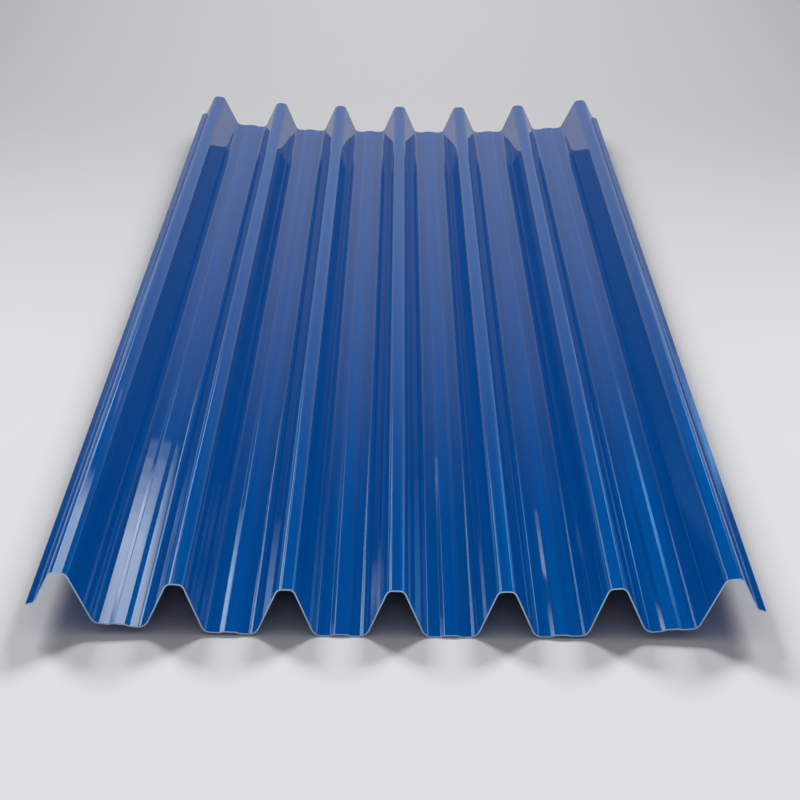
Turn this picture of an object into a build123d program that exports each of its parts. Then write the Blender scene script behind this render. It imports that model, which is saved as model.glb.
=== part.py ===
from build123d import *
from math import atan2, hypot, tan
import os

# A roll-formed roofing sheet of coated steel: one solid, rolled to seven narrow ribs
# with a wide valley between each two. X runs across the ribs, Y along them, Z up.
# The origin is on the floor, under the middle of the sheet. All sizes are millimetres.

# The sheet as it is cut
length = 3000
thickness = 1.5

# Ribs and valleys, measured on the underside between sharp corners
rib_count = 7
rib_pitch = 120
rib_height = 52
crown_width = 16.5
valley_width = 57
crown_radius = 7
valley_radius = 12

# The shallow raised stiffener along the middle of each valley
stiffener_top = 12.5
stiffener_flank = 4.8
stiffener_height = 1.4
stiffener_radius = 3

# The side laps: a short web outside the edge rib and a narrow lip at its foot
lap_depth = 37
lap_run = 17
lip_width = 9.5
lip_drop = 4
lip_radius = 6

# How the sheet lies: the middle valleys are flat and the sides rise in a gentle curl,
# which also opens the web beside each edge rib a little
side_curl = 17
edge_spread = 6

half = 0.5
edge_rib = (rib_count - 1) * half
edge_rib_x = edge_rib * rib_pitch + edge_spread
flat_half_width = (rib_pitch + valley_width) * half


def rise(x):
    """Height that the curl of the sides adds to the section at x."""
    beyond = max(abs(x) - flat_half_width, 0)
    return side_curl * (beyond / (edge_rib_x - flat_half_width)) ** 2


def rib_centre(number):
    """Place across the sheet of a rib, counted from the middle one."""
    if abs(number) == edge_rib:
        return edge_rib_x * number / edge_rib
    return number * rib_pitch


def fitting_radius(before, corner, after, wanted):
    """The wanted radius, or as much of it as the shorter side of the corner can take."""
    run_in = (corner[0] - before[0], corner[1] - before[1])
    run_out = (after[0] - corner[0], after[1] - corner[1])
    turn = abs(atan2(run_out[1], run_out[0]) - atan2(run_in[1], run_in[0]))
    shorter = min(hypot(*run_in), hypot(*run_out))
    return min(wanted, half * shorter / tan(turn * half))


# The bends of the underside from left to right: place, height and radius of each
bends = []


def bend(x, height, radius):
    """Adds one bend, raised by the curl of the sides."""
    bends.append((x, height + rise(x), radius))


left_crown_edge = rib_centre(-edge_rib) - crown_width * half
bend(left_crown_edge - lap_run - lip_width, rib_height - lap_depth - lip_drop, 0)
bend(left_crown_edge - lap_run, rib_height - lap_depth, lip_radius)

for step in range(rib_count):
    rib = step - edge_rib
    crown = rib_centre(rib)
    bend(crown - crown_width * half, rib_height, crown_radius)
    bend(crown + crown_width * half, rib_height, crown_radius)

    if rib < edge_rib:
        valley = (rib + half) * rib_pitch
        bend(valley - valley_width * half, 0, valley_radius)
        bend(valley - stiffener_top * half - stiffener_flank, 0, stiffener_radius)
        bend(valley - stiffener_top * half, stiffener_height, stiffener_radius)
        bend(valley + stiffener_top * half, stiffener_height, stiffener_radius)
        bend(valley + stiffener_top * half + stiffener_flank, 0, stiffener_radius)
        bend(valley + valley_width * half, 0, valley_radius)

right_crown_edge = rib_centre(edge_rib) + crown_width * half
bend(right_crown_edge + lap_run, rib_height - lap_depth, lip_radius)
bend(right_crown_edge + lap_run + lip_width, rib_height - lap_depth - lip_drop, 0)

corners = [(x, height) for x, height, radius in bends]
radii = [
    fitting_radius(corners[i - 1], corners[i], corners[i + 1], bends[i][2])
    for i in range(1, len(bends) - 1)
]

# The rolled section is drawn along its underside, thickened upwards by the metal
# and drawn out to the cut length
with BuildPart() as profiled_sheet:
    with BuildSketch(Plane.XZ) as section:
        with BuildLine() as underside:
            FilletPolyline(*corners, radius=radii)
            offset(amount=thickness, side=Side.LEFT)
        make_face()
    extrude(amount=length * half, both=True)

profiled_sheet.part.label = "profiled_sheet"

os.makedirs("parts", exist_ok=True)
export_step(profiled_sheet.part, "parts/profiled_sheet.step")
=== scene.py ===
import math

import bpy
from mathutils import Matrix, Vector


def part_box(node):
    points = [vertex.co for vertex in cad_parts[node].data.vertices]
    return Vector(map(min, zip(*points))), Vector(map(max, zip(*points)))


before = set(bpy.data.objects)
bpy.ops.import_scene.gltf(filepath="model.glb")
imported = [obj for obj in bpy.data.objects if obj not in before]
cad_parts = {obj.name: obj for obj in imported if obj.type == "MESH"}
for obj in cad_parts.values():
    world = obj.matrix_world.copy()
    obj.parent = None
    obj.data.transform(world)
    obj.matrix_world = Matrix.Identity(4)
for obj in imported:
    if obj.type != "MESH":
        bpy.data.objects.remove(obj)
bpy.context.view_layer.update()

SHEET = "profiled_sheet"
front_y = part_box(SHEET)[0].y

# The photograph's view: a long lens that looks along the ribs and down on the sheet.
# Its distance is measured from the front edge. Metres, and millimetres for the sensor.
IMAGE_WIDTH = 800
SENSOR_WIDTH = 36
FOCAL_PIXELS = 3029
CAMERA_BACK = 3.0987
CAMERA_HEIGHT = 1.1277
CAMERA_RIGHT = -0.0029
PITCH_DOWN = math.radians(15.519)
TURN_RIGHT = math.radians(0.093)
ROLL = math.radians(-0.60)

# The coating: two near shades of one blue, drawn out in fine lines along the sheet by a
# noise, which gives the darker shade at one value and the lighter shade at the other
DARKER_BLUE = (0.0, 0.079, 0.337, 1)
LIGHTER_BLUE = (0.0, 0.098, 0.386, 1)
LINE_SCALE = (160, 0.6, 160)
LINE_DETAIL = 3.0
DARKER_AT, LIGHTER_AT = 0.3, 0.7
BASE_ROUGHNESS = 0.6
COAT_WEIGHT = 0.5
COAT_ROUGHNESS = 0.03

# The cut edges: bare metal on the faces that look almost straight along or across
CUT_FACE = 0.94
METAL_COLOUR = (0.42, 0.54, 0.70, 1)
METAL_ROUGHNESS = 0.4

# The floor, with painted shade: its colour darkens smoothly from one Y to the other, as if
# less light reached it there. The painted shade is smallest in the middle and grows with
# X squared, up to the value that is given for the side.
FLOOR_SIZE = 60
FLOOR_COLOUR = (0.80, 0.80, 0.815, 1)
FLOOR_ROUGHNESS = 0.9
FLOOR_SPECULAR = 0.1
PAINTED_SHADE_FROM_Y, PAINTED_SHADE_TO_Y = -0.8, 2.0
PAINTED_SHADE_IN_MIDDLE, PAINTED_SHADE_AT_SIDE = 0.26, 0.54
SIDE_AT_X_SQUARED = 1.5

# The backdrop: its radiance by degrees away from straight behind the sheet. A degree
# across counts for a little less than a degree up, so the glow is wider than high.
GLOW_STOPS = (
    (0, 0.70),
    (8, 0.66),
    (11, 0.56),
    (13, 0.42),
    (15, 0.24),
    (16.5, 0.08),
    (18, 0.006),
    (55, 0.006),
    (80, 0.3),
)
GLOW_CENTRE = (0.0, 1.0, 0.0)
GLOW_SCALE = (0.425, 0.5, 0.5)
BACKDROP_BLUE = 1.03

# The softboxes stand in three upright planes behind the sheet, so that two that overlap
# don't lie in one plane. Each is made of nested panels, one just behind the other.
NEAR_PLANE, MIDDLE_PLANE, FAR_PLANE = 2.5, 2.6, 2.7
SOFTBOX_PANELS = 6
PANEL_GAP = 0.01

WHITE = (1, 1, 1)
COOL_WHITE = (0.85, 0.9, 1.0)
GREENISH_WHITE = (0.93, 1.0, 0.95)
PALE_BLUE = (0.62, 0.84, 1.0)
SKY_BLUE = (0.45, 0.73, 1.0)
DEEP_BLUE = (0.2, 0.56, 1.0)
PURE_BLUE = (0.0, 0.3, 1.0)


def add_camera():
    """The camera at the photograph's place, with no shift and no depth of field."""
    data = bpy.data.cameras.new("photo_camera")
    data.sensor_width = SENSOR_WIDTH
    data.lens = FOCAL_PIXELS / IMAGE_WIDTH * SENSOR_WIDTH
    camera = bpy.data.objects.new("photo_camera", data)
    bpy.context.scene.collection.objects.link(camera)
    bpy.context.scene.camera = camera
    ahead = Vector(
        (
            math.sin(TURN_RIGHT) * math.cos(PITCH_DOWN),
            math.cos(TURN_RIGHT) * math.cos(PITCH_DOWN),
            -math.sin(PITCH_DOWN),
        )
    )
    level_right = Vector((math.cos(TURN_RIGHT), -math.sin(TURN_RIGHT), 0))
    level_up = level_right.cross(ahead)
    right = level_right * math.cos(ROLL) - level_up * math.sin(ROLL)
    up = level_right * math.sin(ROLL) + level_up * math.cos(ROLL)
    turn = Matrix((right, up, -ahead)).transposed().to_4x4()
    place = Matrix.Translation((CAMERA_RIGHT, front_y - CAMERA_BACK, CAMERA_HEIGHT))
    camera.matrix_world = place @ turn


def new_material(name):
    """A material with one Principled shader that is joined to its output."""
    material = bpy.data.materials.new(name)
    material.use_nodes = True
    nodes, links = material.node_tree.nodes, material.node_tree.links
    nodes.clear()
    output = nodes.new("ShaderNodeOutputMaterial")
    shader = nodes.new("ShaderNodeBsdfPrincipled")
    links.new(shader.outputs["BSDF"], output.inputs["Surface"])
    return material, shader, output


def add_maths(nodes, operation):
    """A node that does one sum."""
    node = nodes.new("ShaderNodeMath")
    node.operation = operation
    return node


def coating_colour(nodes, links):
    """Fine lengthwise lines from the rolls, as a noise that is stretched along the sheet."""
    place = nodes.new("ShaderNodeTexCoord")
    stretch = nodes.new("ShaderNodeMapping")
    stretch.inputs["Scale"].default_value = LINE_SCALE
    lines = nodes.new("ShaderNodeTexNoise")
    lines.inputs["Scale"].default_value = 1.0
    lines.inputs["Detail"].default_value = LINE_DETAIL
    tint = nodes.new("ShaderNodeValToRGB")
    darker, lighter = tint.color_ramp.elements
    darker.position, darker.color = DARKER_AT, DARKER_BLUE
    lighter.position, lighter.color = LIGHTER_AT, LIGHTER_BLUE
    links.new(place.outputs["Object"], stretch.inputs["Vector"])
    links.new(stretch.outputs["Vector"], lines.inputs["Vector"])
    links.new(lines.outputs["Fac"], tint.inputs["Fac"])
    return tint.outputs["Color"]


def cut_face_mask(nodes, links):
    """One on the faces that look along the sheet or straight out at its sides, else zero."""
    facing = nodes.new("ShaderNodeNewGeometry")
    split = nodes.new("ShaderNodeSeparateXYZ")
    across = add_maths(nodes, "ABSOLUTE")
    along = add_maths(nodes, "ABSOLUTE")
    most = add_maths(nodes, "MAXIMUM")
    cut = add_maths(nodes, "GREATER_THAN")
    cut.inputs[1].default_value = CUT_FACE
    links.new(facing.outputs["True Normal"], split.inputs["Vector"])
    links.new(split.outputs["X"], across.inputs[0])
    links.new(split.outputs["Y"], along.inputs[0])
    links.new(across.outputs["Value"], most.inputs[0])
    links.new(along.outputs["Value"], most.inputs[1])
    links.new(most.outputs["Value"], cut.inputs[0])
    return cut.outputs["Value"]


def blue_coating():
    """Gloss blue coating on steel, with bare metal at the cut edges."""
    material, paint, output = new_material("blue_gloss_coating")
    nodes, links = material.node_tree.nodes, material.node_tree.links
    paint.inputs["Roughness"].default_value = BASE_ROUGHNESS
    paint.inputs["Specular IOR Level"].default_value = 0.0
    paint.inputs["Coat Weight"].default_value = COAT_WEIGHT
    paint.inputs["Coat Roughness"].default_value = COAT_ROUGHNESS
    links.new(coating_colour(nodes, links), paint.inputs["Base Color"])

    metal = nodes.new("ShaderNodeBsdfPrincipled")
    metal.inputs["Base Color"].default_value = METAL_COLOUR
    metal.inputs["Metallic"].default_value = 1.0
    metal.inputs["Roughness"].default_value = METAL_ROUGHNESS

    either = nodes.new("ShaderNodeMixShader")
    links.new(cut_face_mask(nodes, links), either.inputs["Fac"])
    links.new(paint.outputs["BSDF"], either.inputs[1])
    links.new(metal.outputs["BSDF"], either.inputs[2])
    links.new(either.outputs["Shader"], output.inputs["Surface"])
    return material


def dress_sheet():
    """Gives the sheet its coating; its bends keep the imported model's own normals."""
    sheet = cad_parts[SHEET]
    sheet.data.materials.clear()
    sheet.data.materials.append(blue_coating())


def floor_material():
    """A matt, pale floor with painted shade that darkens its colour a little behind the
    sheet, most of all at the sides.
    """
    material, shader, _ = new_material("pale_floor_painted_shade")
    nodes, links = material.node_tree.nodes, material.node_tree.links
    place = nodes.new("ShaderNodeTexCoord")
    split = nodes.new("ShaderNodeSeparateXYZ")
    x_squared = add_maths(nodes, "MULTIPLY")
    side = nodes.new("ShaderNodeMapRange")
    side.inputs["From Max"].default_value = SIDE_AT_X_SQUARED
    side.inputs["To Min"].default_value = PAINTED_SHADE_IN_MIDDLE
    side.inputs["To Max"].default_value = PAINTED_SHADE_AT_SIDE
    behind = nodes.new("ShaderNodeMapRange")
    behind.interpolation_type = "SMOOTHSTEP"
    behind.inputs["From Min"].default_value = PAINTED_SHADE_FROM_Y
    behind.inputs["From Max"].default_value = PAINTED_SHADE_TO_Y
    # painted shade: the floor colour is mixed towards black, more behind the sheet and at
    # the sides
    painted_shade = add_maths(nodes, "MULTIPLY")
    tone = nodes.new("ShaderNodeMix")
    tone.data_type = "RGBA"
    tone.inputs["A"].default_value = FLOOR_COLOUR
    tone.inputs["B"].default_value = (0, 0, 0, 1)
    links.new(place.outputs["Object"], split.inputs["Vector"])
    links.new(split.outputs["X"], x_squared.inputs[0])
    links.new(split.outputs["X"], x_squared.inputs[1])
    links.new(x_squared.outputs["Value"], side.inputs["Value"])
    links.new(split.outputs["Y"], behind.inputs["Value"])
    links.new(side.outputs["Result"], painted_shade.inputs[0])
    links.new(behind.outputs["Result"], painted_shade.inputs[1])
    links.new(painted_shade.outputs["Value"], tone.inputs["Factor"])
    links.new(tone.outputs["Result"], shader.inputs["Base Color"])
    shader.inputs["Roughness"].default_value = FLOOR_ROUGHNESS
    shader.inputs["Specular IOR Level"].default_value = FLOOR_SPECULAR
    return material


def add_floor():
    """The level floor that the sheet lies on; it fills the whole view."""
    bpy.ops.mesh.primitive_plane_add(size=FLOOR_SIZE, location=(0, 0, 0))
    floor = bpy.context.object
    floor.name = "studio_floor"
    floor.data.materials.append(floor_material())


def add_world():
    """A studio backdrop: a pale glow low behind the sheet, a dark band round that, and an
    even, soft light from all other sides."""
    world = bpy.data.worlds.new("studio")
    bpy.context.scene.world = world
    world.use_nodes = True
    nodes, links = world.node_tree.nodes, world.node_tree.links
    nodes.clear()
    output = nodes.new("ShaderNodeOutputWorld")
    background = nodes.new("ShaderNodeBackground")
    background.inputs["Strength"].default_value = 1.0
    place = nodes.new("ShaderNodeTexCoord")
    off_centre = nodes.new("ShaderNodeVectorMath")
    off_centre.operation = "SUBTRACT"
    off_centre.inputs[1].default_value = GLOW_CENTRE
    squash = nodes.new("ShaderNodeVectorMath")
    squash.operation = "MULTIPLY"
    squash.inputs[1].default_value = GLOW_SCALE
    away = nodes.new("ShaderNodeVectorMath")
    away.operation = "LENGTH"
    ramp = nodes.new("ShaderNodeValToRGB")
    links.new(place.outputs["Generated"], off_centre.inputs[0])
    links.new(off_centre.outputs["Vector"], squash.inputs[0])
    links.new(squash.outputs["Vector"], away.inputs[0])
    links.new(away.outputs["Value"], ramp.inputs["Fac"])
    links.new(ramp.outputs["Color"], background.inputs["Color"])
    links.new(background.outputs["Background"], output.inputs["Surface"])

    # half the distance between two directions is the sine of half the angle between them
    elements = ramp.color_ramp.elements
    while len(elements) < len(GLOW_STOPS):
        elements.new(0.5)
    for element, (degrees, radiance) in zip(elements, GLOW_STOPS):
        element.position = math.sin(math.radians(degrees) / 2)
        element.color = (radiance, radiance, radiance * BACKDROP_BLUE, 1)


def add_sun(name, elevation, azimuth, spread, strength, colour=WHITE):
    """A soft light that falls evenly on the whole floor; azimuth 0 is behind the sheet."""
    data = bpy.data.lights.new(name, "SUN")
    data.energy = strength
    data.angle = math.radians(spread)
    data.color = colour
    lamp = bpy.data.objects.new(name, data)
    bpy.context.scene.collection.objects.link(lamp)
    rise, turn = math.radians(elevation), math.radians(azimuth)
    towards = (
        math.cos(rise) * math.sin(turn),
        math.cos(rise) * math.cos(turn),
        math.sin(rise),
    )
    lamp.rotation_euler = Vector(towards).to_track_quat("Z", "Y").to_euler()


def add_softbox(name, centre, size, soft, radiance, roll=0, colour=WHITE):
    """A softbox behind the sheet, seen only in its gloss, as nested panels with a soft edge.

    size is its width and height, soft how much of each the soft edge takes, and a
    positive roll, in degrees, leans its top to the right.
    """
    for step in range(SOFTBOX_PANELS):
        grow = (step + 0.5) / SOFTBOX_PANELS * 2 - 1
        data = bpy.data.lights.new(f"{name}_{step}", "AREA")
        data.shape = "RECTANGLE"
        data.size = size[0] + grow * soft[0]
        data.size_y = size[1] + grow * soft[1]
        data.color = colour
        data.energy = radiance / SOFTBOX_PANELS * math.pi * data.size * data.size_y
        lamp = bpy.data.objects.new(data.name, data)
        bpy.context.scene.collection.objects.link(lamp)
        lamp.location = Vector(centre) + Vector((0, step * PANEL_GAP, 0))
        lamp.rotation_euler = (math.radians(-90), 0, 0)
        lamp.rotation_euler.rotate_axis("Z", math.radians(roll))
        lamp.visible_camera = False
        lamp.visible_diffuse = False


add_camera()
dress_sheet()
add_floor()
add_world()
add_sun("key_left", elevation=25, azimuth=-20, spread=17, strength=2.45)
add_sun("key_right", elevation=25, azimuth=20, spread=17, strength=2.45)
add_sun("front_fill", elevation=14, azimuth=180, spread=30, strength=0.3, colour=COOL_WHITE)

# The bright patch in the leftmost valley, the glare on the leftmost rib, and the thin
# lines on the bends near both
add_softbox(
    "left_softbox", (-0.405, NEAR_PLANE, 1.52),
    size=(0.058, 0.76), soft=(0.03, 0.27), radiance=3.65, colour=GREENISH_WHITE,
)
add_softbox(
    "left_outer_softbox", (-0.505, MIDDLE_PLANE, 1.62),
    size=(0.13, 0.6), soft=(0.03, 0.1), radiance=2.9, colour=GREENISH_WHITE,
)
add_softbox(
    "left_wing", (-1.0, NEAR_PLANE, 1.56),
    size=(0.6, 0.68), soft=(0.1, 0.1), radiance=4.0, colour=PALE_BLUE,
)

# The lines on the left flanks of the stiffeners, most of all in the second valley
add_softbox(
    "left_slant", (-0.72, FAR_PLANE, 1.1),
    size=(0.18, 0.36), soft=(0.04, 0.24), radiance=3.8, roll=-36, colour=SKY_BLUE,
)
add_softbox(
    "left_flank_box", (-1.04, MIDDLE_PLANE, 1.149),
    size=(0.12, 0.3), soft=(0.03, 0.2), radiance=4.2, roll=-38.4, colour=PALE_BLUE,
)
add_softbox(
    "left_edge_box", (-1.135, FAR_PLANE, 1.094),
    size=(0.07, 0.344), soft=(0.03, 0.1), radiance=3.65, roll=-37, colour=GREENISH_WHITE,
)

# A blue line along the left bend of each rib, and the blue of the left lap
add_softbox(
    "left_low_strip", (-1.4, NEAR_PLANE, 0.32),
    size=(0.9, 0.14), soft=(0.08, 0.06), radiance=1.4, colour=DEEP_BLUE,
)

# The deeper blue on the right, and the lines on the right flanks of the stiffeners
add_softbox(
    "right_softbox", (0.48, NEAR_PLANE, 1.48),
    size=(0.4, 0.8), soft=(0.06, 0.1), radiance=0.35, colour=PURE_BLUE,
)
add_softbox(
    "right_slant", (1.167, NEAR_PLANE, 0.879),
    size=(0.38, 0.4), soft=(0.04, 0.35), radiance=2.9, roll=38.9, colour=DEEP_BLUE,
)

# A blue line along the right bend of each rib, and the blue of the right lap
add_softbox(
    "right_low_strip", (1.4, MIDDLE_PLANE, 0.32),
    size=(0.9, 0.14), soft=(0.08, 0.06), radiance=1.4, colour=DEEP_BLUE,
)

bpy.context.scene.view_settings.view_transform = "Standard"
